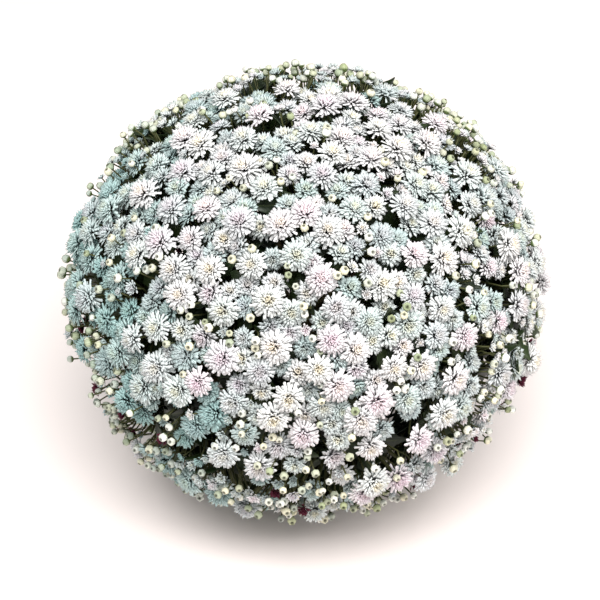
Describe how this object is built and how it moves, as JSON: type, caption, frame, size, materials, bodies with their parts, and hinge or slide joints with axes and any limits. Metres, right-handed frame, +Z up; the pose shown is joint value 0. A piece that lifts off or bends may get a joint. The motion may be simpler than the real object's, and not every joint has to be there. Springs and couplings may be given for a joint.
{
  "type": "pot chrysanthemum",
  "caption": "Potted chrysanthemum grown as a dense ball of double white flowers and buds on leafy stems, in a tapered plastic nursery pot",
  "frame": {"origin": "middle of the pot's flat base", "axes": "+Z up the pot's axis; -Y toward the side that the picture shows"},
  "size_m": [0.508, 0.5074, 0.4576],
  "materials": {
    "petal_white": "soft matte petals",
    "leaf_green": "matte leaf",
    "stem_green": "matte bark",
    "peat": "damp crumbs",
    "pot_plastic": "matte moulded plastic"
  },
  "bodies": {
    "root": {"pot": "pot_plastic", "soil": "peat", "stems": "stem_green", "shoot_01": "leaf_green", "spray_01": "petal_white", "shoot_02": "leaf_green", "spray_02": "petal_white", "shoot_03": "leaf_green", "spray_03": "petal_white", "shoot_04": "leaf_green", "spray_04": "petal_white", "shoot_05": "leaf_green", "spray_05": "petal_white", "shoot_06": "leaf_green", "spray_06": "petal_white", "shoot_07": "leaf_green", "spray_07": "petal_white", "shoot_08": "leaf_green", "spray_08": "petal_white", "shoot_09": "leaf_green", "spray_09": "petal_white", "shoot_10": "leaf_green", "spray_10": "petal_white", "shoot_11": "leaf_green", "spray_11": "petal_white", "shoot_12": "leaf_green", "spray_12": "petal_white", "shoot_13": "leaf_green", "spray_13": "petal_white", "shoot_14": "leaf_green", "spray_14": "petal_white", "shoot_15": "leaf_green", "spray_15": "petal_white", "shoot_16": "leaf_green", "spray_16": "petal_white", "shoot_17": "leaf_green", "spray_17": "petal_white", "shoot_18": "leaf_green", "spray_18": "petal_white", "shoot_19": "leaf_green", "spray_19": "petal_white", "shoot_20": "leaf_green", "spray_20": "petal_white", "shoot_21": "leaf_green", "spray_21": "petal_white", "shoot_22": "leaf_green", "spray_22": "petal_white", "shoot_23": "leaf_green", "spray_23": "petal_white", "shoot_24": "leaf_green", "spray_24": "petal_white", "shoot_25": "leaf_green", "spray_25": "petal_white", "shoot_26": "leaf_green", "spray_26": "petal_white", "shoot_27": "leaf_green", "spray_27": "petal_white"}
  },
  "joints": []
}
